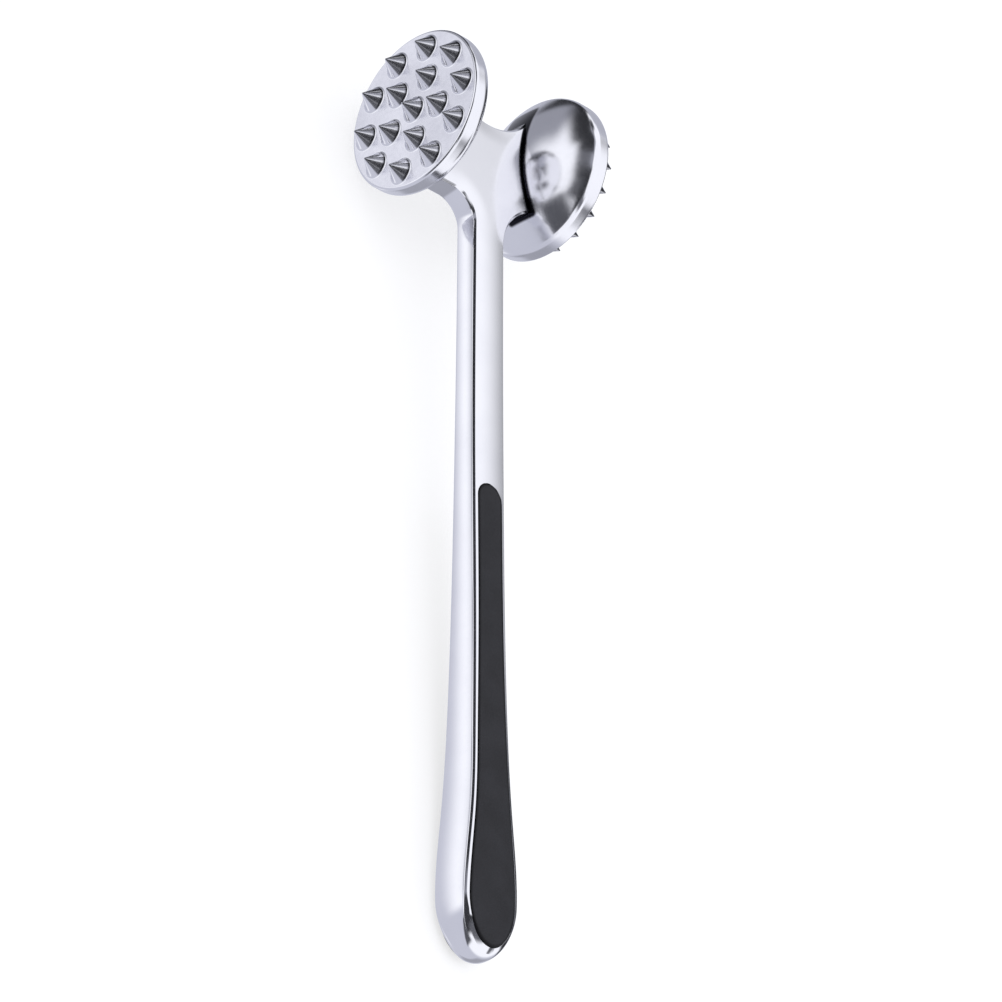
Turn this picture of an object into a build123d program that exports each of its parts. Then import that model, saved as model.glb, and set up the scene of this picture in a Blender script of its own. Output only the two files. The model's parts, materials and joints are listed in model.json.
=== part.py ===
from build123d import *
import math
import os

# Double-sided meat mallet, in millimetres.
# It is drawn upright: the heads' common axis is X with the coarse head at -X, the handle runs down
# along -Z, and the handle's two cheeks face -Y (front) and +Y (back).
# It is then laid down as it lies on a table, on both head rims and the back insert near the butt.
# The origin is on the table, under the middle of the whole mallet.

# Heads
HEAD_RADIUS = 24.0
FACE_TO_FACE = 52.8
RIM_WIDTH = 4.6
DOME_HEIGHT = 9.8
FACE_EDGE_FILLET = 0.5
SHOULDER_FILLET = 3.0

# Coarse face: one spike, then a ring of five, then a ring of ten
COARSE_RINGS = ((0.0, 1, 0.0), (9.65, 5, 32.0), (18.55, 10, 14.7))
COARSE_SPIKE_RADIUS = 3.8
COARSE_SPIKE_HEIGHT = 4.8

# Fine face: one spike, then rings of six, twelve and eighteen
FINE_RINGS = ((0.0, 1, 0.0), (7.0, 6, 16.9), (14.0, 12, 16.9), (20.9, 18, 16.9))
FINE_SPIKE_RADIUS = 2.3
FINE_SPIKE_HEIGHT = 4.2
SPIKE_TIP_RADIUS = 0.15
SPIKE_SINK = 0.2

# Hub: the flat web between the heads, with a saddle on top and a fillet each side of the neck
HUB_HALF_DEPTH = 3.9
SADDLE_HEIGHT = 5.8
SADDLE_RADIUS = 17.5
SADDLE_HALF_SPAN = 16.4
NECK_HALF_WIDTH = 6.0
COARSE_NECK_FILLET = 7.5
COARSE_NECK_Z = -28.0
FINE_NECK_FILLET = 17.0
FINE_NECK_Z = -31.5
CASTING_EDGE_FILLET = 1.6

# Each head has a flat tenon that is pressed into a slot in the hub
TENON_HEIGHT = 12.0
TENON_DEPTH = 4.0
TENON_LENGTH = 7.0
TENON_ROOT = 2.0

# Handle: half width down each side to the swell, and half depth from the hub down past the butt
HANDLE_SIDE = ((6.15, -100.0), (6.15, -140.0), (6.75, -181.0), (8.0, -206.0))
SWELL_HALF_WIDTH = 9.6
SWELL_Z = -229.0
BUTT_Z = -246.0
HUB_END_Z = -34.0
HANDLE_DEPTH = ((4.15, -95.0), (4.85, -140.0), (5.9, -184.0), (6.95, -222.0), (6.3, -247.0))

# Grip inserts, one in each cheek: a teardrop that follows the handle
INSERT_TOP_Z = -113.0
INSERT_TOP_RADIUS = 4.5
INSERT_SIDE = ((4.6, -150.0), (5.3, -182.0), (6.5, -206.0))
INSERT_BOTTOM_HALF_WIDTH = 8.3
INSERT_BOTTOM_Z = -230.0
INSERT_BOTTOM_ROUND = 13.4
INSERT_THICKNESS = 2.0
INSERT_PROUD = 0.25
PEG_RADIUS = 2.0
PEG_END_Y = 1.0
PEG_HEIGHTS = (-122.0, -158.0, -194.0, -230.0)

# Working sizes, larger than anything they cut or are cut by
ABOVE_HUB_Z = 30.0
HALF_SPAN = 40.0
HALF_REACH_Y = 20.0


FACE_X = FACE_TO_FACE / 2
SHOULDER_X = FACE_X - RIM_WIDTH
DOME_X = SHOULDER_X - DOME_HEIGHT
CHEEK = ((HUB_HALF_DEPTH, HUB_END_Z), *HANDLE_DEPTH)
DOWN = (0, -1)


def head_body():
    """Disc with a domed back, on +X, turned about the head axis."""
    dome_radius = (HEAD_RADIUS**2 + DOME_HEIGHT**2) / (2 * DOME_HEIGHT)
    half_rise = DOME_HEIGHT / 2
    half_reach = math.sqrt(dome_radius**2 - (dome_radius - half_rise) ** 2)
    dome_middle = (DOME_X + half_rise, half_reach)
    with BuildPart() as body:
        with BuildSketch(Plane.XY) as profile:
            with BuildLine():
                Line((DOME_X, 0), (FACE_X, 0))
                Line((FACE_X, 0), (FACE_X, HEAD_RADIUS))
                Line((FACE_X, HEAD_RADIUS), (SHOULDER_X, HEAD_RADIUS))
                ThreePointArc((SHOULDER_X, HEAD_RADIUS), dome_middle, (DOME_X, 0))
            make_face()
            fillet(profile.vertices().group_by(Axis.Y)[-1].sort_by(Axis.X)[-1], FACE_EDGE_FILLET)
            fillet(profile.vertices().group_by(Axis.Y)[-1].sort_by(Axis.X)[0], SHOULDER_FILLET)
        revolve(axis=Axis.X)
    return body.part


def spikes(rings, radius, height):
    """Cones that stand on the +X face, each sunk slightly into it."""
    slope = (radius - SPIKE_TIP_RADIUS) / height
    cones = []
    for ring_radius, count, first_angle in rings:
        for k in range(count):
            angle = math.radians(first_angle + k * 360 / count)
            y = -ring_radius * math.sin(angle)
            z = ring_radius * math.cos(angle)
            plane = Plane(origin=(FACE_X - SPIKE_SINK, y, z), z_dir=(1, 0, 0))
            cone = Cone(radius + slope * SPIKE_SINK, SPIKE_TIP_RADIUS, height + SPIKE_SINK,
                        align=(Align.CENTER, Align.CENTER, Align.MIN))
            cones.append(plane * cone)
    return cones


def tenon():
    """Flat tongue on the head's inner side that the hub's slot holds."""
    tongue = Box(TENON_LENGTH + TENON_ROOT, TENON_DEPTH, TENON_HEIGHT,
                 align=(Align.MIN, Align.CENTER, Align.CENTER))
    return Pos(DOME_X - TENON_LENGTH, 0, 0) * tongue


def head(rings, radius, height):
    """Whole head on +X."""
    return head_body().fuse(*spikes(rings, radius, height), tenon()).clean()


def casting_side(side, neck_z, neck_fillet):
    """One side of the casting's outline, from the head it carries down to the middle of the butt."""
    saddle_end = saddle_height_at(SADDLE_HALF_SPAN)
    centre_x = NECK_HALF_WIDTH + neck_fillet
    bulge = neck_fillet * math.sqrt(0.5)
    fillet_top = neck_z + neck_fillet
    arc_ends = (side * centre_x, fillet_top), (side * NECK_HALF_WIDTH, neck_z)
    reach = side * max(SHOULDER_X, centre_x)
    Line((side * SADDLE_HALF_SPAN, saddle_end), (reach, saddle_end))
    Line((reach, saddle_end), (reach, fillet_top))
    if abs(reach) > centre_x:
        Line((reach, fillet_top), arc_ends[0])
    ThreePointArc(arc_ends[0], (side * (centre_x - bulge), neck_z + bulge), arc_ends[1])
    points = [(side * x, z) for x, z in HANDLE_SIDE]
    swell = (side * SWELL_HALF_WIDTH, SWELL_Z)
    Spline(arc_ends[1], *points, swell, tangents=(DOWN, DOWN))
    start = 270 if side > 0 else 180
    EllipticalCenterArc((0, SWELL_Z), SWELL_HALF_WIDTH, SWELL_Z - BUTT_Z, start, arc_size=90)


def saddle_height_at(x):
    """Height of the saddle between the heads at a distance x from the middle."""
    return SADDLE_HEIGHT + SADDLE_RADIUS - math.sqrt(SADDLE_RADIUS**2 - x**2)


def depth_curve(side, growth=0.0):
    """Line of one cheek down the handle, in the YZ plane's own coordinates, moved out by growth."""
    points = [(side * (depth + growth), z) for depth, z in CHEEK]
    return Spline(*points, tangents=(DOWN, DOWN))


def depth_prism(growth=0.0):
    """Everything between the two cheeks, with each cheek moved out by growth."""
    half_top = HUB_HALF_DEPTH + growth
    half_end = CHEEK[-1][0] + growth
    end_z = CHEEK[-1][1]
    with BuildPart() as body:
        with BuildSketch(Plane.YZ):
            with BuildLine():
                for side in (1, -1):
                    Line((side * half_top, ABOVE_HUB_Z), (side * half_top, HUB_END_Z))
                    depth_curve(side, growth)
                Line((half_top, ABOVE_HUB_Z), (-half_top, ABOVE_HUB_Z))
                Line((half_end, end_z), (-half_end, end_z))
            make_face()
        extrude(amount=HALF_SPAN, both=True)
    return body.part


def casting_blank():
    """Hub, handle and butt before they are cut, with their front and back edges rounded."""
    with BuildPart() as body:
        with BuildSketch(Plane.XZ):
            with BuildLine():
                casting_side(-1, COARSE_NECK_Z, COARSE_NECK_FILLET)
                casting_side(1, FINE_NECK_Z, FINE_NECK_FILLET)
                saddle_end = SADDLE_HALF_SPAN, saddle_height_at(SADDLE_HALF_SPAN)
                ThreePointArc((-saddle_end[0], saddle_end[1]), (0, SADDLE_HEIGHT), saddle_end)
            make_face()
        extrude(amount=HALF_REACH_Y, both=True)
        add(depth_prism(), mode=Mode.INTERSECT)
        fillet(body.edges().filter_by(edge_is_outline), CASTING_EDGE_FILLET)
    return body.part


def edge_is_outline(edge):
    """True for the edges that run round a cheek: clear of the middle plane and of the hub's cut ends."""
    hair = 0.01
    box = edge.bounding_box()
    runs_round = box.min.Y > HUB_HALF_DEPTH / 2 or box.max.Y < -HUB_HALF_DEPTH / 2
    at_cut_end = abs(box.center().X) > SHOULDER_X - hair and box.size.X < hair
    return runs_round and not at_cut_end


def insert_prism():
    """The teardrop outline of a grip insert, carried through the front half of the handle."""
    top = (INSERT_TOP_RADIUS, INSERT_TOP_Z)
    bottom = (INSERT_BOTTOM_HALF_WIDTH, INSERT_BOTTOM_Z)
    with BuildPart() as prism:
        with BuildSketch(Plane.XZ):
            with BuildLine():
                for side in (1, -1):
                    points = [(side * x, z) for x, z in (top, *INSERT_SIDE, bottom)]
                    Spline(*points, tangents=(DOWN, DOWN))
                ThreePointArc((-top[0], top[1]), (0, top[1] + INSERT_TOP_RADIUS), top)
                EllipticalCenterArc((0, INSERT_BOTTOM_Z), bottom[0], INSERT_BOTTOM_ROUND, 180, arc_size=180)
            make_face()
        extrude(amount=HALF_REACH_Y)
    return prism.part


def with_pegs(shape, floor):
    """Adds the moulded pegs that key an insert into the handle, from the pocket's floor inwards."""
    for z in PEG_HEIGHTS:
        plane = Plane(origin=(0, -PEG_END_Y, z), z_dir=(0, -1, 0))
        peg = plane * Cylinder(PEG_RADIUS, HALF_REACH_Y, align=(Align.CENTER, Align.CENTER, Align.MIN))
        shape = shape + (peg & floor)
    return shape


def front_insert():
    """Rubber insert of the front cheek, slightly proud of the metal round it."""
    floor = depth_prism(-INSERT_THICKNESS)
    pad = (insert_prism() & depth_prism(INSERT_PROUD)) - floor
    return with_pegs(pad, floor).solid()


def front_pocket():
    """What the front insert takes out of the handle."""
    floor = depth_prism(-INSERT_THICKNESS)
    return with_pegs(insert_prism() - floor, floor)


def handle_casting(coarse_head, fine_head):
    """Handle and hub in one casting, cut for both inserts and seated on both heads' domes."""
    pocket = front_pocket()
    metal = casting_blank() - pocket - pocket.mirror(Plane.XZ)
    return (metal - coarse_head - fine_head).solid()


def rest_tilt():
    """Angle that drops the butt until its back insert lies on the plane under both rims, in degrees."""
    steps = 200
    insert_end = INSERT_BOTTOM_Z - INSERT_BOTTOM_ROUND
    curve = depth_curve(1, INSERT_PROUD)
    tilts = []
    for k in range(steps + 1):
        point = curve @ (k / steps)
        reach = math.hypot(point.X, point.Y)
        if insert_end < point.Y < INSERT_TOP_Z:
            tilts.append(math.asin(HEAD_RADIUS / reach) - math.asin(point.X / reach))
    return math.degrees(min(tilts))


def build_upright():
    """All five pieces, upright."""
    coarse_head = head(COARSE_RINGS, COARSE_SPIKE_RADIUS, COARSE_SPIKE_HEIGHT).mirror(Plane.YZ).solid()
    fine_head = head(FINE_RINGS, FINE_SPIKE_RADIUS, FINE_SPIKE_HEIGHT).solid()
    insert = front_insert()
    return {
        "handle_casting": handle_casting(coarse_head, fine_head),
        "coarse_head": coarse_head,
        "fine_head": fine_head,
        "front_grip_insert": insert,
        "back_grip_insert": insert.mirror(Plane.XZ).solid(),
    }


def lay_down(pieces):
    """Lays the mallet on its back cheek, with the origin on the table under the middle of its box."""
    turned = {name: Rot(-90 + rest_tilt(), 0, 0) * piece for name, piece in pieces.items()}
    box = Compound(list(turned.values())).bounding_box(optimal=True)
    to_origin = Pos(-box.center().X, -box.center().Y, -box.min.Z)
    return {name: to_origin * piece for name, piece in turned.items()}


def main():
    os.makedirs("parts", exist_ok=True)
    for name, piece in lay_down(build_upright()).items():
        export_step(piece, f"parts/{name}.step")


main()
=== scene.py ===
import json
import math

import bmesh
import bpy
import numpy as np
from mathutils import Matrix, Vector
from mathutils.geometry import delaunay_2d_cdt


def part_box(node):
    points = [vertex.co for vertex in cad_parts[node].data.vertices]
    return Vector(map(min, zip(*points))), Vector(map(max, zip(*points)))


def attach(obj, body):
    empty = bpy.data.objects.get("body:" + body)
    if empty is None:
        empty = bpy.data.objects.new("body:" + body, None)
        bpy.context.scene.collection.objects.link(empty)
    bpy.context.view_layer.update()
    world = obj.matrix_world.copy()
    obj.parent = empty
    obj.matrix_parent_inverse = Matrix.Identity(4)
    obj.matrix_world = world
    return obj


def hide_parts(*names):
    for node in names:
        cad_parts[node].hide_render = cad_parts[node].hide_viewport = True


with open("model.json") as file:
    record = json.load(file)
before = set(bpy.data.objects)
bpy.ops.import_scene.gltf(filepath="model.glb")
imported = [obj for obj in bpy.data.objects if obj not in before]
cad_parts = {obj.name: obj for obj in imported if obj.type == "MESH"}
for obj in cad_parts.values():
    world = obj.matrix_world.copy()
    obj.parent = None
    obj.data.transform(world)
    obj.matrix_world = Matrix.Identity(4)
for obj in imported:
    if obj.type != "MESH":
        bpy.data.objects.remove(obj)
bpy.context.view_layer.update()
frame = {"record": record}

# Every shape is made upright in millimetres: the heads' axis is X with the coarse head at -X, the
# handle runs down along -Z and the front cheek faces -Y. lay_down then puts it where the frame lies.
MM = 0.001

# Heads, as radius and distance along the axis
FACE_X = 26.4
RIM_WIDTH = 4.6
DOME_HEIGHT = 9.8
HEAD_RADIUS = (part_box("coarse_head")[1].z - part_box("coarse_head")[0].z) / 2 / MM
DOME_RADIUS = (HEAD_RADIUS**2 + DOME_HEIGHT**2) / (2 * DOME_HEIGHT)
DOME_MIDDLE_X = FACE_X - RIM_WIDTH - DOME_HEIGHT + DOME_RADIUS
COARSE_EDGE_ROUND = 0.85
FINE_EDGE_ROUND = 0.55
SHOULDER_ROUND = 3.0
HEAD_SEGMENTS = 288
EDGE_STEPS = 8
RIM_STEPS = 6
SHOULDER_STEPS = 16
DOME_STEPS = 48
# Width of the flat ring beside a rounded edge or a spike's root, which keeps the flat face's shading flat
SUPPORT = 0.04

# Spikes: rings of (radius, count, first angle in degrees)
COARSE_RINGS = ((0.0, 1, 0.0), (9.65, 5, 32.0), (18.55, 10, 14.7))
COARSE_SPIKE = {"radius": 3.75, "height": 4.8, "tip": 0.22, "root": 0.9, "segments": 64}
FINE_RINGS = ((0.0, 1, 0.0), (7.0, 6, 16.9), (14.0, 12, 16.9), (20.9, 18, 16.9))
FINE_SPIKE = {"radius": 2.1, "height": 4.2, "tip": 0.18, "root": 0.4, "segments": 40}
SPIKE_ROOT_STEPS = 6
SPIKE_FLANK_STEPS = 8
SPIKE_TIP_STEPS = 4

# Hub and handle outline
SADDLE_HEIGHT = 5.8
SADDLE_RADIUS = 18.3
SADDLE_HALF_SPAN = 16.4
NECK_HALF_WIDTH = 6.0
COARSE_NECK_Z = -28.0
COARSE_NECK_ROUND = 7.5
FINE_NECK_Z = -31.5
FINE_NECK_ROUND = 17.0
HIDDEN_ROUND = 2.0
HANDLE_SIDE = ((6.15, -100.0), (6.15, -140.0), (6.75, -181.0), (8.0, -206.0))
SWELL_HALF_WIDTH = 9.9
SWELL_Z = -230.0
BUTT_Z = -245.95

# Half depth at the middle of the cheek, from the hub to past the butt
HANDLE_DEPTH = ((3.9, -34.0), (4.15, -95.0), (4.85, -140.0), (5.9, -184.0), (6.85, -222.0), (6.3, -247.0))

# Cross-section: crown of the narrow sides and cheeks, and the corner between them
SIDE_CROWN = math.radians(5.0)
CHEEK_CROWN = math.radians(5.0)
GRIP_CROWN = math.radians(11.0)
GRIP_CROWN_Z = (-150.0, -222.0)
HUB_CROWN_REACH = 6.0
CORNER_ROUND = 0.7
# How far the corner is a straight bevel (1) and not an arc (0)
CORNER_BEVEL = 0.92
BUTT_ROUND = 5.9
# Width and loops of the band along the outline, which holds the narrow sides and the corners
BAND_INSET = 1.2
BAND_STEPS = 26

# Painted shade in the joints between pieces: black up to SEAM_CORE millimetres from the other casting, none
# from SEAM_REACH on. A scale below 1 widens the line and one above 1 narrows it.
SEAM_CORE = 0.45
SEAM_REACH = 0.95
SEAM_CLEAR = 10.0
FINE_SEAM_SCALE = 0.55
COARSE_SEAM_SCALE = 2.5
COARSE_SEAM_OFFSET = 0.4
INSERT_SEAM_SCALE = 4.0
INSERT_SEAM_OFFSET = 0.35
# Painted shade on the rubber pads' edges: near black up to the first distance from the teardrop, none from
# the second.
INSERT_DARK_EDGE = (0.25, 0.9)
# Painted shade in the crease at the foot of each spike, on the side that faces the given angle round the
# head's axis
SPIKE_SHADE_HEIGHT = 0.4
SPIKE_SHADE_REACH = 0.7
SPIKE_SHADE_SIDE = math.radians(160.0)
SPIKE_SHADE_SPREAD = 0.25

# Grip inserts
INSERT_TOP_Z = -113.0
INSERT_TOP_RADIUS = 4.5
INSERT_SIDE = ((4.6, -150.0), (5.3, -182.0), (6.5, -206.0))
INSERT_BOTTOM_HALF_WIDTH = 8.3
INSERT_BOTTOM_Z = -230.0
INSERT_BOTTOM_ROUND = 13.4
INSERT_THICKNESS = 2.0
INSERT_GAP = 0.12
INSERT_PROUD = 0.12
INSERT_EDGE_ROUND = 0.3
POCKET_LIP = 0.12
POCKET_DEPTH = 2.1
INSERT_EDGE_STEPS = 5
# Grid spacing and clearance from the edges of the filled surfaces
CHEEK_GRID = (1.1, 0.35)
INSERT_GRID = (1.0, 0.4)
HIDDEN_GRID = (3.0, 1.0)


# ---------------------------------------------------------------- curves in the plane of the outline

def clamped_curve(points):
    """Half width as a function of height: a cubic through (width, z) points, level at both ends."""
    points = sorted(points, key=lambda p: p[1])
    z = np.array([p[1] for p in points])
    width = np.array([p[0] for p in points])
    gap = np.diff(z)
    count = len(z)
    matrix = np.zeros((count, count))
    right = np.zeros(count)
    matrix[0, 0] = matrix[-1, -1] = 1.0
    for i in range(1, count - 1):
        matrix[i, i - 1] = gap[i]
        matrix[i, i] = 2 * (gap[i - 1] + gap[i])
        matrix[i, i + 1] = gap[i - 1]
        rise_below = (width[i] - width[i - 1]) / gap[i - 1]
        rise_above = (width[i + 1] - width[i]) / gap[i]
        right[i] = 3 * (gap[i] * rise_below + gap[i - 1] * rise_above)
    slope = np.linalg.solve(matrix, right)

    def value(at):
        at = np.clip(at, z[0], z[-1])
        i = np.clip(np.searchsorted(z, at) - 1, 0, count - 2)
        t = (at - z[i]) / gap[i]
        start = (1 + 2 * t) * (1 - t) ** 2 * width[i] + t * (1 - t) ** 2 * gap[i] * slope[i]
        end = t * t * (3 - 2 * t) * width[i + 1] + t * t * (t - 1) * gap[i] * slope[i + 1]
        return start + end

    return value


half_depth = clamped_curve(HANDLE_DEPTH)
swell = (SWELL_HALF_WIDTH, SWELL_Z)
coarse_half_width = clamped_curve(((NECK_HALF_WIDTH, COARSE_NECK_Z), *HANDLE_SIDE, swell))
fine_half_width = clamped_curve(((NECK_HALF_WIDTH, FINE_NECK_Z), *HANDLE_SIDE, swell))
insert_top = (INSERT_TOP_RADIUS, INSERT_TOP_Z)
insert_bottom = (INSERT_BOTTOM_HALF_WIDTH, INSERT_BOTTOM_Z)
insert_half_width = clamped_curve((insert_top, *INSERT_SIDE, insert_bottom))


def arc(centre, radii, start, end, step):
    """Points of an ellipse's arc in the XZ plane, angles in degrees from +X towards +Z."""
    sweep = math.radians(abs(end - start))
    count = max(4, int(sweep * max(radii) / step))
    angles = np.radians(np.linspace(start, end, count + 1))
    return np.stack([centre[0] + radii[0] * np.cos(angles), centre[1] + radii[1] * np.sin(angles)], 1)


def line(start, end, step):
    count = max(2, int(math.dist(start, end) / step))
    t = np.linspace(0, 1, count + 1)[:, None]
    return (1 - t) * np.array(start) + t * np.array(end)


def joined(*runs):
    """One closed loop out of runs that meet end to end, with each shared point kept once."""
    points = np.concatenate(runs)
    keep = np.linalg.norm(points - np.roll(points, 1, axis=0), axis=1) > 1e-6
    return points[keep]


def ear(side, reach):
    """The outline's end inside a head: it turns back from the saddle's end to a distance reach along X."""
    lean = math.asin(SADDLE_HALF_SPAN / SADDLE_RADIUS)
    radius = (reach - SADDLE_HALF_SPAN) / (1 + math.sin(lean))
    saddle_end_z = SADDLE_HEIGHT + SADDLE_RADIUS * (1 - math.cos(lean))
    centre = (side * (reach - radius), saddle_end_z - radius * math.cos(lean))
    start = 90 - math.degrees(lean)
    if side < 0:
        return arc(centre, (radius, radius), start, 180, 0.4)
    return arc(centre, (radius, radius), 0, 180 - start, 0.4)


def casting_outline():
    """The casting's outline, anticlockwise from the front: down the coarse side and up the fine side."""
    lean = math.degrees(math.asin(SADDLE_HALF_SPAN / SADDLE_RADIUS))
    saddle_centre = (0.0, SADDLE_HEIGHT + SADDLE_RADIUS)
    coarse_x = NECK_HALF_WIDTH + COARSE_NECK_ROUND
    fine_x = NECK_HALF_WIDTH + FINE_NECK_ROUND
    coarse_reach = FACE_X - RIM_WIDTH
    fine_reach = fine_x + HIDDEN_ROUND
    coarse_top = COARSE_NECK_Z + COARSE_NECK_ROUND
    fine_top = FINE_NECK_Z + FINE_NECK_ROUND
    coarse_corner = (HIDDEN_ROUND - coarse_reach, coarse_top + HIDDEN_ROUND)
    fine_corner = (fine_x, fine_top + HIDDEN_ROUND)
    coarse_ear = ear(-1, coarse_reach)
    fine_ear = ear(1, fine_reach)
    coarse_z = np.linspace(COARSE_NECK_Z, SWELL_Z, 300)
    fine_z = np.linspace(SWELL_Z, FINE_NECK_Z, 300)
    return joined(
        arc(saddle_centre, (SADDLE_RADIUS,) * 2, 270 + lean, 270 - lean, 0.35),
        coarse_ear,
        line(coarse_ear[-1], (-coarse_reach, coarse_corner[1]), 1.0),
        arc(coarse_corner, (HIDDEN_ROUND,) * 2, 180, 270, 0.4),
        line((coarse_corner[0], coarse_top), (-coarse_x, coarse_top), 0.5),
        arc((-coarse_x, COARSE_NECK_Z), (COARSE_NECK_ROUND,) * 2, 90, 0, 0.3),
        np.stack([-coarse_half_width(coarse_z), coarse_z], 1),
        arc((0.0, SWELL_Z), (SWELL_HALF_WIDTH, SWELL_Z - BUTT_Z), 180, 360, 0.3),
        np.stack([fine_half_width(fine_z), fine_z], 1),
        arc((fine_x, FINE_NECK_Z), (FINE_NECK_ROUND,) * 2, 180, 90, 0.35),
        arc(fine_corner, (HIDDEN_ROUND,) * 2, 270, 360, 0.4),
        line((fine_reach, fine_corner[1]), fine_ear[0], 1.0),
        fine_ear,
    )


def insert_outline():
    """The teardrop, anticlockwise from the front, starting at the left end of its round top."""
    down = np.linspace(INSERT_TOP_Z, INSERT_BOTTOM_Z, 180)
    up = down[::-1]
    return joined(
        np.stack([-insert_half_width(down), down], 1),
        arc((0.0, INSERT_BOTTOM_Z), (INSERT_BOTTOM_HALF_WIDTH, INSERT_BOTTOM_ROUND), 180, 360, 0.3),
        np.stack([insert_half_width(up), up], 1),
        arc((0.0, INSERT_TOP_Z), (INSERT_TOP_RADIUS,) * 2, 0, 180, 0.2),
    )


def inward(loop):
    """Unit normals of an anticlockwise closed loop, pointing into it."""
    along = np.roll(loop, -1, axis=0) - np.roll(loop, 1, axis=0)
    along /= np.linalg.norm(along, axis=1)[:, None]
    return np.stack([-along[:, 1], along[:, 0]], 1)


def inset(loop, distance):
    return loop + inward(loop) * distance


def inside(points, loop):
    """Which points lie inside a closed loop."""
    x, z = points[:, 0][:, None], points[:, 1][:, None]
    x1, z1 = loop[:, 0][None], loop[:, 1][None]
    x2, z2 = np.roll(loop[:, 0], -1)[None], np.roll(loop[:, 1], -1)[None]
    crosses = (z1 > z) != (z2 > z)
    with np.errstate(divide="ignore", invalid="ignore"):
        at = x1 + (z - z1) * (x2 - x1) / (z2 - z1)
    return (np.sum(crosses & (x < at), axis=1) % 2) == 1


def distance_to(points, loop):
    """Shortest distance from each point to a closed loop."""
    start = loop[None]
    step = (np.roll(loop, -1, axis=0) - loop)[None]
    length = np.maximum((step**2).sum(2), 1e-12)
    nearest = np.full(len(points), 1e9)
    for i in range(0, len(points), 400):
        offset = points[i:i + 400, None] - start
        t = np.clip((offset * step).sum(2) / length, 0, 1)
        gaps = np.linalg.norm(offset - t[..., None] * step, axis=2)
        nearest[i:i + 400] = gaps.min(axis=1)
    return nearest


# ---------------------------------------------------------------- the casting's surface

outline = casting_outline()


def surface_depth(points, from_edge):
    """Distance of the metal's surface from the middle plane, over points of the XZ plane."""
    z = points[:, 1]
    depth = half_depth(z)
    reach = np.where(z > COARSE_NECK_Z, HUB_CROWN_REACH, np.minimum(coarse_half_width(z), SWELL_HALF_WIDTH))
    reach = np.maximum(reach, HUB_CROWN_REACH)
    into_butt = np.clip((SWELL_Z - z) / (SWELL_Z - BUTT_Z), 0, 1) ** 2
    corner = CORNER_ROUND + (BUTT_ROUND - CORNER_ROUND) * into_butt
    corner = np.minimum(corner, depth - 0.15)
    into_grip = np.clip((GRIP_CROWN_Z[0] - z) / (GRIP_CROWN_Z[0] - GRIP_CROWN_Z[1]), 0, 1)
    crown = CHEEK_CROWN + (GRIP_CROWN - CHEEK_CROWN) * into_grip**2 * (3 - 2 * into_grip)
    rise = depth - corner * (np.cos(crown) - math.sin(SIDE_CROWN))
    run = reach - corner * (math.cos(SIDE_CROWN) - np.sin(crown))
    side_rise, side_run = math.sin(SIDE_CROWN), 1 - math.cos(SIDE_CROWN)
    cheek_rise, cheek_run = 1 - np.cos(crown), np.sin(crown)
    scale = side_rise * cheek_run - cheek_rise * side_run
    side_radius = (rise * cheek_run - cheek_rise * run) / scale
    cheek_radius = (side_rise * run - side_run * rise) / scale
    side_end = side_radius * side_run
    corner_x = side_end + corner * math.cos(SIDE_CROWN)
    corner_y = side_radius * side_rise - corner * math.sin(SIDE_CROWN)
    corner_end = corner_x - corner * np.sin(crown)
    side = np.sqrt(np.maximum(side_radius**2 - (side_radius - from_edge) ** 2, 0))
    turn = corner_y + np.sqrt(np.maximum(corner**2 - (corner_x - from_edge) ** 2, 0))
    bevel_start = corner_y + corner * math.sin(SIDE_CROWN)
    bevel_rise = corner * (np.cos(crown) - math.sin(SIDE_CROWN))
    bevel = bevel_start + bevel_rise * (from_edge - side_end) / (corner_end - side_end)
    bevel_share = CORNER_BEVEL * (1 - into_butt)
    turn = (1 - bevel_share) * turn + bevel_share * bevel
    to_middle = np.maximum(reach - from_edge, 0)
    cheek = depth - cheek_radius + np.sqrt(np.maximum(cheek_radius**2 - to_middle**2, 0))
    return np.where(from_edge < side_end, side, np.where(from_edge < corner_end, turn, cheek))


def lift(points, side, shift=0.0):
    """Puts points of the XZ plane on the front (side -1) or back (side 1) cheek, moved out by shift."""
    depth = surface_depth(points, distance_to(points, outline)) + shift
    return np.stack([points[:, 0], side * depth, points[:, 1]], 1)


# ---------------------------------------------------------------- meshes

def lay_down_matrix():
    """From upright millimetres to the frame: the tilt is the hub face's, the place is the heads' axis."""
    mounts = {mount["name"]: mount for mount in frame["record"]["mounts"]}
    tilt = math.asin(-mounts["hub_front_face"]["axis"][1])
    low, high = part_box("coarse_head")
    fine_tip_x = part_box("fine_head")[1].x
    middle_x = fine_tip_x - (FACE_X + FINE_SPIKE["height"]) * MM
    place = Vector((middle_x, (low.y + high.y) / 2, (low.z + high.z) / 2))
    turn = Matrix.Rotation(tilt - math.pi / 2, 4, "X")
    return Matrix.Translation(place) @ turn @ Matrix.Scale(MM, 4)


LAY_DOWN = lay_down_matrix()


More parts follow.
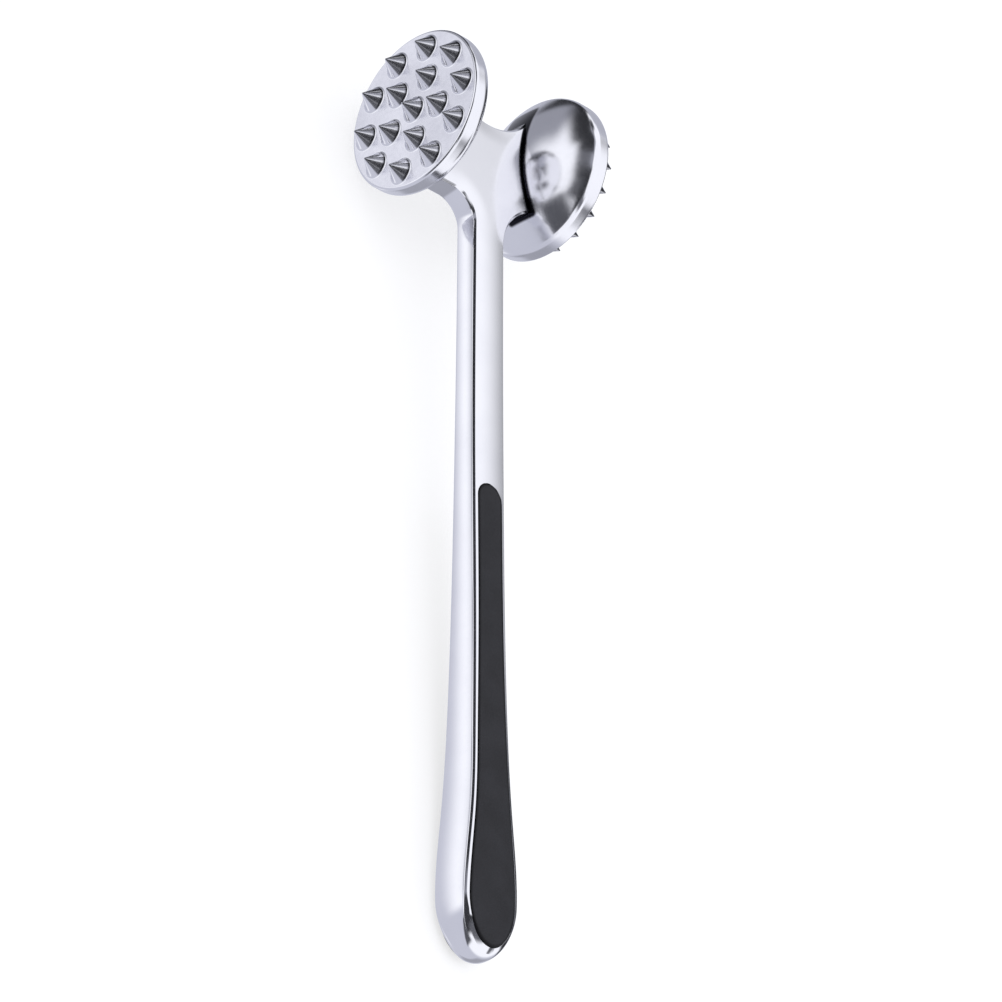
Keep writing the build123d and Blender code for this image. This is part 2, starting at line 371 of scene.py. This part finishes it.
def joint_gap(points, node):
    """How far points of one piece are from the piece it is joined to, scaled to the width of the painted
    shade in the joint.
    """
    x, y, z = points.T
    if node == "handle_casting":
        dome_gap = np.sqrt((DOME_MIDDLE_X - np.abs(x)) ** 2 + y**2 + z**2) - DOME_RADIUS
        dome_gap = dome_gap + np.where(x < 0, COARSE_SEAM_OFFSET, 0)
        insert_gap = distance_to(np.stack([x, z], 1), insert_outline())
        return np.minimum(dome_gap, INSERT_SEAM_OFFSET + INSERT_SEAM_SCALE * insert_gap)
    if node in ("coarse_head", "fine_head"):
        gap = np.full(len(points), SEAM_CLEAR)
        near = (np.abs(y) < 2 * half_depth(z)) & (np.abs(x) < FACE_X - RIM_WIDTH)
        flat = np.stack([x[near], z[near]], 1)
        in_plane = distance_to(flat, outline) * np.where(inside(flat, outline), 0, 1)
        scale = FINE_SEAM_SCALE if node == "fine_head" else COARSE_SEAM_SCALE
        gap[near] = scale * np.hypot(in_plane, np.maximum(np.abs(y[near]) - half_depth(z[near]), 0))
        return gap
    return distance_to(np.stack([x, z], 1), insert_outline())


class Shell:
    """Points and faces of one closed piece while it is put together, and the painted-shade gaps of its
    spikes' creases.
    """

    def __init__(self):
        self.points = []
        self.faces = []
        self.creases = {}

    def add(self, points):
        first = len(self.points)
        self.points.extend(tuple(p) for p in points)
        return list(range(first, len(self.points)))

    def bridge(self, loop, other):
        for i in range(len(loop)):
            j = (i + 1) % len(loop)
            self.faces.append((loop[i], loop[j], other[j], other[i]))

    def cap(self, loop, tip):
        for i in range(len(loop)):
            self.faces.append((loop[i], loop[(i + 1) % len(loop)], tip))

    def fill(self, outer, holes, extra, place):
        """Triangles between flat loops of (indices, points), with extra points lifted by place."""
        loops = [outer, *holes]
        flat = np.concatenate([points for _, points in loops] + [extra])
        owner = [index for indices, _ in loops for index in indices] + self.add(place(extra))
        edges = []
        first = 0
        for indices, _ in loops:
            count = len(indices)
            edges.extend((first + i, first + (i + 1) % count) for i in range(count))
            first += count
        result = delaunay_2d_cdt([Vector(p) for p in flat], edges, [], 0, 1e-7)
        source = [group[0] for group in result[3]]
        triangles = np.array([[source[i] for i in face] for face in result[2]])
        middles = flat[triangles].mean(axis=1)
        keep = inside(middles, outer[1])
        for _, points in holes:
            keep &= ~inside(middles, points)
        self.faces.extend(tuple(owner[i] for i in triangle) for triangle in triangles[keep])
        return int(keep.sum())

    def to_object(self, name, node, sharp_degrees=38.0, satin=0):
        """The piece. Its last satin faces take the second material."""
        mesh = bpy.data.meshes.new(name)
        mesh.from_pydata([LAY_DOWN @ Vector(p) for p in self.points], [], self.faces)
        for face in mesh.polygons[len(mesh.polygons) - satin:]:
            face.material_index = 1
        # joint_gap sets where the materials paint shade: in the joints between pieces and in the creases at
        # the spikes' feet.
        gaps = joint_gap(np.array(self.points), node)
        gaps[list(self.creases)] = list(self.creases.values())
        gap = mesh.attributes.new("joint_gap", "FLOAT", "POINT")
        gap.data.foreach_set("value", gaps)
        work = bmesh.new()
        work.from_mesh(mesh)
        bmesh.ops.recalc_face_normals(work, faces=work.faces)
        work.to_mesh(mesh)
        work.free()
        mesh.shade_smooth()
        mesh.set_sharp_from_angle(angle=math.radians(sharp_degrees))
        piece = bpy.data.objects.new(name, mesh)
        bpy.context.scene.collection.objects.link(piece)
        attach(piece, "root")
        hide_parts(node)
        return piece


def grid_points(low, high, spacing):
    """Points of a triangular grid over a box."""
    rows = []
    row_gap = spacing * math.sqrt(3) / 2
    for k in range(int((high[1] - low[1]) / row_gap) + 1):
        x = np.arange(low[0] + (k % 2) * spacing / 2, high[0], spacing)
        rows.append(np.stack([x, np.full(len(x), low[1] + k * row_gap)], 1))
    return np.concatenate(rows)


def grid_between(outer, holes, spacing, clearance):
    """Grid points inside a loop and outside its holes, clear of them all."""
    points = grid_points(outer.min(axis=0), outer.max(axis=0), spacing)
    keep = inside(points, outer) & (distance_to(points, outer) > clearance)
    for hole in holes:
        keep &= ~inside(points, hole) & (distance_to(points, hole) > clearance)
    return points[keep]


# ---------------------------------------------------------------- heads

def head_profile(edge_round):
    """(x, radius) from the flat face's edge over the rim and shoulder to the middle of the dome."""
    round_y = HEAD_RADIUS - SHOULDER_ROUND
    round_x = DOME_MIDDLE_X - math.sqrt((DOME_RADIUS - SHOULDER_ROUND) ** 2 - round_y**2)
    shoulder_turn = math.atan2(DOME_MIDDLE_X - round_x, round_y)
    flat_edge = HEAD_RADIUS - edge_round
    profile = [(FACE_X, flat_edge - SUPPORT)]
    for k in range(EDGE_STEPS + 1):
        a = math.pi / 2 * k / EDGE_STEPS
        profile.append((FACE_X - edge_round * (1 - math.cos(a)), flat_edge + edge_round * math.sin(a)))
    rim_start = FACE_X - edge_round
    for k in range(1, RIM_STEPS):
        profile.append((rim_start + (round_x - rim_start) * k / RIM_STEPS, HEAD_RADIUS))
    for k in range(SHOULDER_STEPS + 1):
        a = (math.pi / 2 - shoulder_turn) * k / SHOULDER_STEPS
        profile.append((round_x - SHOULDER_ROUND * math.sin(a), round_y + SHOULDER_ROUND * math.cos(a)))
    edge_turn = math.asin(profile[-1][1] / DOME_RADIUS)
    for k in range(1, DOME_STEPS):
        a = edge_turn * (1 - k / DOME_STEPS)
        profile.append((DOME_MIDDLE_X - DOME_RADIUS * math.cos(a), DOME_RADIUS * math.sin(a)))
    return profile, DOME_MIDDLE_X - DOME_RADIUS


def spike_profile(radius, height, tip, root, **_):
    """(radius, height) of one spike, from the face outside its root to just below its tip."""
    flank = math.atan2(height, radius)
    start = radius + root * math.tan(flank / 2)
    profile = [(start + SUPPORT, 0.0)]
    for k in range(SPIKE_ROOT_STEPS + 1):
        a = flank * k / SPIKE_ROOT_STEPS
        profile.append((start - root * math.sin(a), root * (1 - math.cos(a))))
    low = profile[-1]
    tip_centre = height - tip
    tip_edge = (tip * math.sin(flank), tip_centre + tip * math.cos(flank))
    for k in range(1, SPIKE_FLANK_STEPS):
        t = k / SPIKE_FLANK_STEPS
        profile.append((low[0] + (tip_edge[0] - low[0]) * t, low[1] + (tip_edge[1] - low[1]) * t))
    for k in range(SPIKE_TIP_STEPS):
        a = flank * (1 - k / SPIKE_TIP_STEPS)
        profile.append((tip * math.sin(a), tip_centre + tip * math.cos(a)))
    return profile


def make_head(name, node, side, edge_round, rings, spike):
    """A head on the +X side (side 1) or -X side (side -1)."""
    shell = Shell()
    around = np.arange(HEAD_SEGMENTS) * 2 * math.pi / HEAD_SEGMENTS
    profile, dome_top = head_profile(edge_round)
    loops = []
    for x, radius in profile:
        loops.append(shell.add([(side * x, radius * math.cos(a), radius * math.sin(a)) for a in around]))
    for loop, other in zip(loops, loops[1:]):
        shell.bridge(loop, other)
    shell.cap(loops[-1], shell.add([(side * dome_top, 0, 0)])[0])
    rim = profile[0][1]
    face_loop = (loops[0], np.stack([rim * np.cos(around), rim * np.sin(around)], 1))
    holes = []
    spike_shape = spike_profile(**spike)
    for ring_radius, count, first_angle in rings:
        for k in range(count):
            place = math.radians(first_angle + k * 360 / count)
            y, z = -ring_radius * math.sin(place), ring_radius * math.cos(place)
            turn = np.arange(spike["segments"]) * 2 * math.pi / spike["segments"]
            # Painted shade in the crease at each spike's foot: strongest low on the flank and on one side
            # round the head's axis.
            crease_shade_gap = SEAM_CORE + np.clip(SPIKE_SHADE_SPREAD - np.cos(turn - SPIKE_SHADE_SIDE), 0, 1)
            spike_loops = []
            for radius, height in spike_shape:
                x = side * (FACE_X + height)
                ring = shell.add([(x, y + radius * math.cos(a), z + radius * math.sin(a)) for a in turn])
                shell.creases.update(zip(ring, crease_shade_gap + abs(height - SPIKE_SHADE_HEIGHT) / SPIKE_SHADE_REACH))
                spike_loops.append(ring)
            for loop, other in zip(spike_loops, spike_loops[1:]):
                shell.bridge(loop, other)
            shell.cap(spike_loops[-1], shell.add([(side * (FACE_X + spike["height"]), y, z)])[0])
            base = spike_shape[0][0]
            holes.append((spike_loops[0], np.stack([y + base * np.cos(turn), z + base * np.sin(turn)], 1)))
    face_count = shell.fill(face_loop, holes, np.zeros((0, 2)), lambda points: [])
    return shell.to_object(name, node, satin=face_count)


# ---------------------------------------------------------------- casting and inserts

def make_casting():
    """Hub, neck, handle and butt, with a pocket in each cheek for the insert."""
    shell = Shell()
    insets = [BAND_INSET * (1 - math.cos(math.pi / 2 * k / BAND_STEPS)) for k in range(BAND_STEPS + 1)]
    normals = inward(outline)
    band = {0: shell.add(np.stack([outline[:, 0], np.zeros(len(outline)), outline[:, 1]], 1))}
    edge_loop = None
    for side in (-1, 1):
        previous = band[0]
        for distance in insets[1:]:
            flat = outline + normals * distance
            depth = surface_depth(flat, np.full(len(flat), distance))
            loop = shell.add(np.stack([flat[:, 0], side * depth, flat[:, 1]], 1))
            shell.bridge(previous, loop)
            previous = loop
            edge_loop = flat
        teardrop = insert_outline()
        lip = inset(teardrop, -POCKET_LIP)
        lip_loop = shell.add(lift(lip, side))
        mouth_loop = shell.add(lift(teardrop, side, -POCKET_LIP))
        floor_loop = shell.add(lift(teardrop, side, -POCKET_DEPTH))
        extra = grid_between(edge_loop, [lip], *CHEEK_GRID)
        shell.fill((previous, edge_loop), [(lip_loop, lip)], extra, lambda points: lift(points, side))
        shell.bridge(lip_loop, mouth_loop)
        shell.bridge(mouth_loop, floor_loop)
        floor_extra = grid_between(teardrop, [], *HIDDEN_GRID)
        shell.fill((floor_loop, teardrop), [], floor_extra, lambda points: lift(points, side, -POCKET_DEPTH))
    return shell.to_object("chrome_handle", "handle_casting")


def make_insert(name, node, side):
    """Rubber pad that fills a pocket, with a rounded edge."""
    shell = Shell()
    teardrop = insert_outline()
    wall = inset(teardrop, INSERT_GAP)
    base_loop = shell.add(lift(wall, side, -INSERT_THICKNESS))
    previous = base_loop
    flat = wall
    for k in range(INSERT_EDGE_STEPS + 1):
        a = math.pi / 2 * k / INSERT_EDGE_STEPS
        flat = inset(teardrop, INSERT_GAP + INSERT_EDGE_ROUND * (1 - math.cos(a)))
        drop = INSERT_PROUD - INSERT_EDGE_ROUND * (1 - math.sin(a))
        loop = shell.add(lift(flat, side, drop))
        shell.bridge(previous, loop)
        previous = loop
    top_extra = grid_between(flat, [], *INSERT_GRID)
    shell.fill((previous, flat), [], top_extra, lambda points: lift(points, side, INSERT_PROUD))
    base_extra = grid_between(wall, [], *HIDDEN_GRID)
    shell.fill((base_loop, wall), [], base_extra, lambda points: lift(points, side, -INSERT_THICKNESS))
    return shell.to_object(name, node)


handle = make_casting()
coarse_head = make_head(
    "coarse_mallet_head", "coarse_head", -1, COARSE_EDGE_ROUND, COARSE_RINGS, COARSE_SPIKE)
fine_head = make_head("fine_mallet_head", "fine_head", 1, FINE_EDGE_ROUND, FINE_RINGS, FINE_SPIKE)
front_insert = make_insert("front_rubber_insert", "front_grip_insert", -1)
back_insert = make_insert("back_rubber_insert", "back_grip_insert", 1)


# ---------------------------------------------------------------- materials

def new_material(name):
    material = bpy.data.materials.new(name)
    material.use_nodes = True
    nodes = material.node_tree.nodes
    nodes.clear()
    output = nodes.new("ShaderNodeOutputMaterial")
    shader = nodes.new("ShaderNodeBsdfPrincipled")
    material.node_tree.links.new(shader.outputs["BSDF"], output.inputs["Surface"])
    return material, nodes, material.node_tree.links, shader


def noise(nodes, links, scale, detail):
    """Noise in the object's own metres."""
    place = nodes.new("ShaderNodeTexCoord")
    texture = nodes.new("ShaderNodeTexNoise")
    texture.inputs["Scale"].default_value = scale
    texture.inputs["Detail"].default_value = detail
    links.new(place.outputs["Object"], texture.inputs["Vector"])
    return texture


def ramp_of(nodes, links, source, low, high, low_at=0.35, high_at=0.65):
    """Maps low_at to high_at, by default a noise's middle range, on to low to high."""
    spread = nodes.new("ShaderNodeMapRange")
    spread.inputs["From Min"].default_value = low_at
    spread.inputs["From Max"].default_value = high_at
    spread.inputs["To Min"].default_value = low
    spread.inputs["To Max"].default_value = high
    links.new(source, spread.inputs["Value"])
    return spread


def chrome(name, colour, darker, roughness_low, roughness_high, wave):
    """Plated die casting: faint cloudiness in the shine, and the slow waviness of a polished casting."""
    material, nodes, links, shader = new_material(name)
    shader.inputs["Metallic"].default_value = 1.0
    cloud = noise(nodes, links, 60.0, 3.0)
    tone = nodes.new("ShaderNodeMix")
    tone.data_type = "RGBA"
    tone.inputs["A"].default_value = (*darker, 1)
    tone.inputs["B"].default_value = (*colour, 1)
    links.new(ramp_of(nodes, links, cloud.outputs["Fac"], 0.0, 1.0).outputs["Result"], tone.inputs["Factor"])
    # Painted shade: the colour turns near black where joint_gap is small, in the joints between pieces and in
    # the creases at the spikes' feet.
    gap = nodes.new("ShaderNodeAttribute")
    gap.attribute_name = "joint_gap"
    seam = ramp_of(nodes, links, gap.outputs["Fac"], 1.0, 0.0, SEAM_CORE, SEAM_REACH)
    seam.interpolation_type = "SMOOTHSTEP"
    painted_seam_shade = nodes.new("ShaderNodeMix")
    painted_seam_shade.data_type = "RGBA"
    painted_seam_shade.inputs["B"].default_value = (0.015, 0.015, 0.02, 1)
    links.new(seam.outputs["Result"], painted_seam_shade.inputs["Factor"])
    links.new(tone.outputs["Result"], painted_seam_shade.inputs["A"])
    links.new(painted_seam_shade.outputs["Result"], shader.inputs["Base Color"])
    haze = noise(nodes, links, 900.0, 4.0)
    rough = ramp_of(nodes, links, haze.outputs["Fac"], roughness_low, roughness_high)
    links.new(rough.outputs["Result"], shader.inputs["Roughness"])
    slow = noise(nodes, links, 55.0, 1.0)
    bump = nodes.new("ShaderNodeBump")
    bump.inputs["Distance"].default_value = wave
    bump.inputs["Strength"].default_value = 1.0
    links.new(slow.outputs["Fac"], bump.inputs["Height"])
    links.new(bump.outputs["Normal"], shader.inputs["Normal"])
    return material


def rubber():
    """Charcoal rubber with a fine moulded grain."""
    material, nodes, links, shader = new_material("charcoal_rubber")
    blotch = noise(nodes, links, 130.0, 4.0)
    tone = nodes.new("ShaderNodeMix")
    tone.data_type = "RGBA"
    tone.inputs["A"].default_value = (0.02, 0.02, 0.023, 1)
    tone.inputs["B"].default_value = (0.025, 0.025, 0.029, 1)
    links.new(ramp_of(nodes, links, blotch.outputs["Fac"], 0.0, 1.0).outputs["Result"], tone.inputs["Factor"])
    # Painted shade: the rubber turns near black along its edge, in the gap to the pocket.
    gap = nodes.new("ShaderNodeAttribute")
    gap.attribute_name = "joint_gap"
    edge = nodes.new("ShaderNodeMix")
    edge.data_type = "RGBA"
    edge.inputs["B"].default_value = (0.001, 0.001, 0.002, 1)
    darkness = ramp_of(nodes, links, gap.outputs["Fac"], 1.0, 0.0, *INSERT_DARK_EDGE)
    links.new(darkness.outputs["Result"], edge.inputs["Factor"])
    links.new(tone.outputs["Result"], edge.inputs["A"])
    links.new(edge.outputs["Result"], shader.inputs["Base Color"])
    shader.inputs["Specular IOR Level"].default_value = 0.3
    grain = noise(nodes, links, 3200.0, 3.0)
    rough = ramp_of(nodes, links, grain.outputs["Fac"], 0.62, 0.8)
    links.new(rough.outputs["Result"], shader.inputs["Roughness"])
    bump = nodes.new("ShaderNodeBump")
    bump.inputs["Distance"].default_value = 0.00005
    bump.inputs["Strength"].default_value = 0.6
    links.new(grain.outputs["Fac"], bump.inputs["Height"])
    links.new(bump.outputs["Normal"], shader.inputs["Normal"])
    return material


handle_chrome = chrome("handle_chrome", (0.9, 0.9, 0.925), (0.86, 0.86, 0.89), 0.09, 0.12, 0.000012)
head_chrome = chrome("head_chrome", (0.88, 0.88, 0.91), (0.84, 0.84, 0.875), 0.14, 0.17, 0.00001)
satin_chrome = chrome("satin_face", (0.78, 0.78, 0.83), (0.68, 0.68, 0.73), 0.19, 0.23, 0.00004)
grip_rubber = rubber()
handle.data.materials.append(handle_chrome)
for head in (coarse_head, fine_head):
    head.data.materials.append(head_chrome)
    head.data.materials.append(satin_chrome)
front_insert.data.materials.append(grip_rubber)
back_insert.data.materials.append(grip_rubber)


# ---------------------------------------------------------------- camera

CAMERA_AZIMUTH = math.radians(-50.523)
CAMERA_ELEVATION = math.radians(35.243)
CAMERA_ROLL = math.radians(61.378)
CAMERA_DISTANCE = 1.4523
CAMERA_LENS = 194.0
# What the camera looks at, in upright millimetres: a point beside the middle of the handle
CAMERA_AIM = (8.575, 0.0, -108.53)


def make_camera():
    back = Vector((math.sin(CAMERA_AZIMUTH) * math.cos(CAMERA_ELEVATION),
                   -math.cos(CAMERA_AZIMUTH) * math.cos(CAMERA_ELEVATION),
                   math.sin(CAMERA_ELEVATION)))
    data = bpy.data.cameras.new("camera")
    data.lens = CAMERA_LENS
    data.clip_start = 0.05
    data.clip_end = 100.0
    camera = bpy.data.objects.new("camera", data)
    bpy.context.scene.collection.objects.link(camera)
    aim = LAY_DOWN @ Vector(CAMERA_AIM)
    camera.rotation_mode = "QUATERNION"
    level = (-back).to_track_quat("-Z", "Y")
    camera.rotation_quaternion = level @ Matrix.Rotation(CAMERA_ROLL, 3, "Z").to_quaternion()
    camera.location = aim + back * CAMERA_DISTANCE
    bpy.context.scene.camera = camera


make_camera()


# ---------------------------------------------------------------- studio

STUDIO_TINT = (0.965, 0.975, 1.03)
STUDIO_BRIGHTNESS = 1.08
# White cards take the studio's tint, grey and dark ones this bluer one
CARD_TINT = (0.94, 0.96, 1.1)
FLOOR_HALF_SIZE = 12.0
FLOOR_GREY = 0.4
FLOOR_GLOW = 0.66

# Cards that only show in the metal's reflections, as seen from the mallet and in degrees: the middle's
# azimuth from -Y towards +X and its elevation, width and height, tilt, then brightness, and how far in
# from its sides and ends it fades. Later cards stand in front of earlier ones.
CARD_DISTANCE = 4.0
CARD_SPACING = 0.05
CARD_STEP = 6.0
CARDS = (
    ("lower_grey", (0, -48), (360, 84), 0, 0.64, (0, 14)),
    ("low_right_grey", (56, -44), (72, 56), 0, 0.4, (18, 14)),
    ("low_strip", (-122, -32), (64, 24), 0, 1.1, (14, 11)),
    ("left_grey", (-152, -10), (96, 46), 0, 0.35, (20, 12)),
    ("white_box", (-98, 10), (96, 66), 0, 1.1, (26, 20)),
    ("far_flag", (-162, 14), (80, 28), 26, 0.03, (10, 9)),
    ("bridge_grey", (-124, 42), (80, 29), 0, 0.36, (9, 3)),
    ("bridge_flag", (-108, 33), (60, 18), 0, 0.14, (9, 5)),
    ("corner_flag", (-134, 36), (32, 25), 0, 0.03, (6, 5)),
    ("upper_flag", (-68, 38), (76, 46), -12, 0.045, (11, 10)),
    ("front_flag", (-20, 42), (66, 24), 0, 0.13, (12, 8)),
    ("side_flag", (-61, -5), (40, 52), 4, 0.1, (5, 12)),
    ("side_edge_flag", (-38, -2), (34, 56), 0, 0.1, (10, 14)),
    ("spike_flag", (-168, 31), (34, 20), 0, 0.035, (8, 6)),
    ("box_corner_flag", (-80, 24), (28, 16), -45, 0.09, (7, 6)),
    ("front_right_flag", (54, 20), (34, 34), 0, 0.1, (9, 9)),
    ("right_flag", (112, 2), (60, 88), 0, 0.03, (10, 25)),
    ("right_grey", (145, -1), (54, 64), 0, 0.5, (8, 9)),
    ("back_flag", (175, -4), (28, 44), 0, 0.04, (8, 10)),
)


def soft_card_material(name, brightness, fades):
    """Glow that fades out towards the sides and ends, over shares of the half width and half height."""
    material = bpy.data.materials.new(name)
    material.use_nodes = True
    nodes, links = material.node_tree.nodes, material.node_tree.links
    nodes.clear()
    place = nodes.new("ShaderNodeAttribute")
    place.attribute_name = "place"
    apart = nodes.new("ShaderNodeSeparateXYZ")
    links.new(place.outputs["Vector"], apart.inputs["Vector"])
    mask = nodes.new("ShaderNodeMath")
    mask.operation = "MULTIPLY"
    for k, axis in enumerate(("X", "Y")):
        size = nodes.new("ShaderNodeMath")
        size.operation = "ABSOLUTE"
        links.new(apart.outputs[axis], size.inputs[0])
        fade = nodes.new("ShaderNodeMapRange")
        fade.interpolation_type = "SMOOTHSTEP"
        fade.inputs["From Min"].default_value = 1.0
        fade.inputs["From Max"].default_value = 1.0 - max(fades[k], 0.001)
        links.new(size.outputs["Value"], fade.inputs["Value"])
        links.new(fade.outputs["Result"], mask.inputs[k])
    glow = nodes.new("ShaderNodeEmission")
    glow.inputs["Color"].default_value = (*(STUDIO_TINT if brightness > 1 else CARD_TINT), 1)
    glow.inputs["Strength"].default_value = brightness
    clear = nodes.new("ShaderNodeBsdfTransparent")
    mix = nodes.new("ShaderNodeMixShader")
    links.new(mask.outputs["Value"], mix.inputs["Fac"])
    links.new(clear.outputs["BSDF"], mix.inputs[1])
    links.new(glow.outputs["Emission"], mix.inputs[2])
    output = nodes.new("ShaderNodeOutputMaterial")
    links.new(mix.outputs["Shader"], output.inputs["Surface"])
    material.cycles.emission_sampling = "NONE"
    return material


def make_card(name, middle, size, tilt, brightness, fades, distance):
    """A curved card: part of a sphere round the mallet, laid out in azimuth and elevation."""
    width, height = size
    columns, rows = math.ceil(width / CARD_STEP), math.ceil(height / CARD_STEP)
    turn = math.radians(tilt)
    points, places, faces = [], [], []
    for j in range(rows + 1):
        for i in range(columns + 1):
            across, up = width * (i / columns - 0.5), height * (j / rows - 0.5)
            azimuth = math.radians(middle[0] + across * math.cos(turn) - up * math.sin(turn))
            elevation = math.radians(middle[1] + across * math.sin(turn) + up * math.cos(turn))
            flat = distance * math.cos(elevation)
            rise = distance * math.sin(elevation)
            points.append((flat * math.sin(azimuth), -flat * math.cos(azimuth), rise))
            places.append((2 * i / columns - 1, 2 * j / rows - 1, 0))
    for j in range(rows):
        for i in range(columns):
            first = j * (columns + 1) + i
            faces.append((first, first + 1, first + columns + 2, first + columns + 1))
    mesh = bpy.data.meshes.new(name)
    mesh.from_pydata(points, [], faces)
    place = mesh.attributes.new("place", "FLOAT_VECTOR", "POINT")
    place.data.foreach_set("vector", np.array(places).ravel())
    card = bpy.data.objects.new(name, mesh)
    bpy.context.scene.collection.objects.link(card)
    shares = (2 * fades[0] / width, 2 * fades[1] / height)
    mesh.materials.append(soft_card_material(name, brightness, shares))
    card.visible_camera = False
    card.visible_diffuse = False
    card.visible_shadow = False
    card.visible_transmission = False


def make_floor():
    """Pale and partly glowing, so that it stays nearly white with a faint shadow. Reflections miss it."""
    mesh = bpy.data.meshes.new("floor")
    size = FLOOR_HALF_SIZE
    corners = [(-size, -size, 0), (size, -size, 0), (size, size, 0), (-size, size, 0)]
    mesh.from_pydata(corners, [], [(0, 1, 2, 3)])
    floor = bpy.data.objects.new("floor", mesh)
    bpy.context.scene.collection.objects.link(floor)
    material, _, _, shader = new_material("white_floor")
    shader.inputs["Base Color"].default_value = (FLOOR_GREY, FLOOR_GREY, FLOOR_GREY, 1)
    shader.inputs["Emission Color"].default_value = (1, 1, 1, 1)
    shader.inputs["Emission Strength"].default_value = FLOOR_GLOW
    shader.inputs["Roughness"].default_value = 0.9
    shader.inputs["Specular IOR Level"].default_value = 0.1
    mesh.materials.append(material)
    floor.visible_glossy = False


def make_world():
    world = bpy.data.worlds.new("studio")
    world.use_nodes = True
    background = world.node_tree.nodes["Background"]
    background.inputs["Color"].default_value = (*STUDIO_TINT, 1)
    background.inputs["Strength"].default_value = STUDIO_BRIGHTNESS
    bpy.context.scene.world = world


make_floor()
make_world()
for k, card in enumerate(CARDS):
    make_card(*card, CARD_DISTANCE - CARD_SPACING * k)
bpy.context.scene.view_settings.view_transform = "Standard"
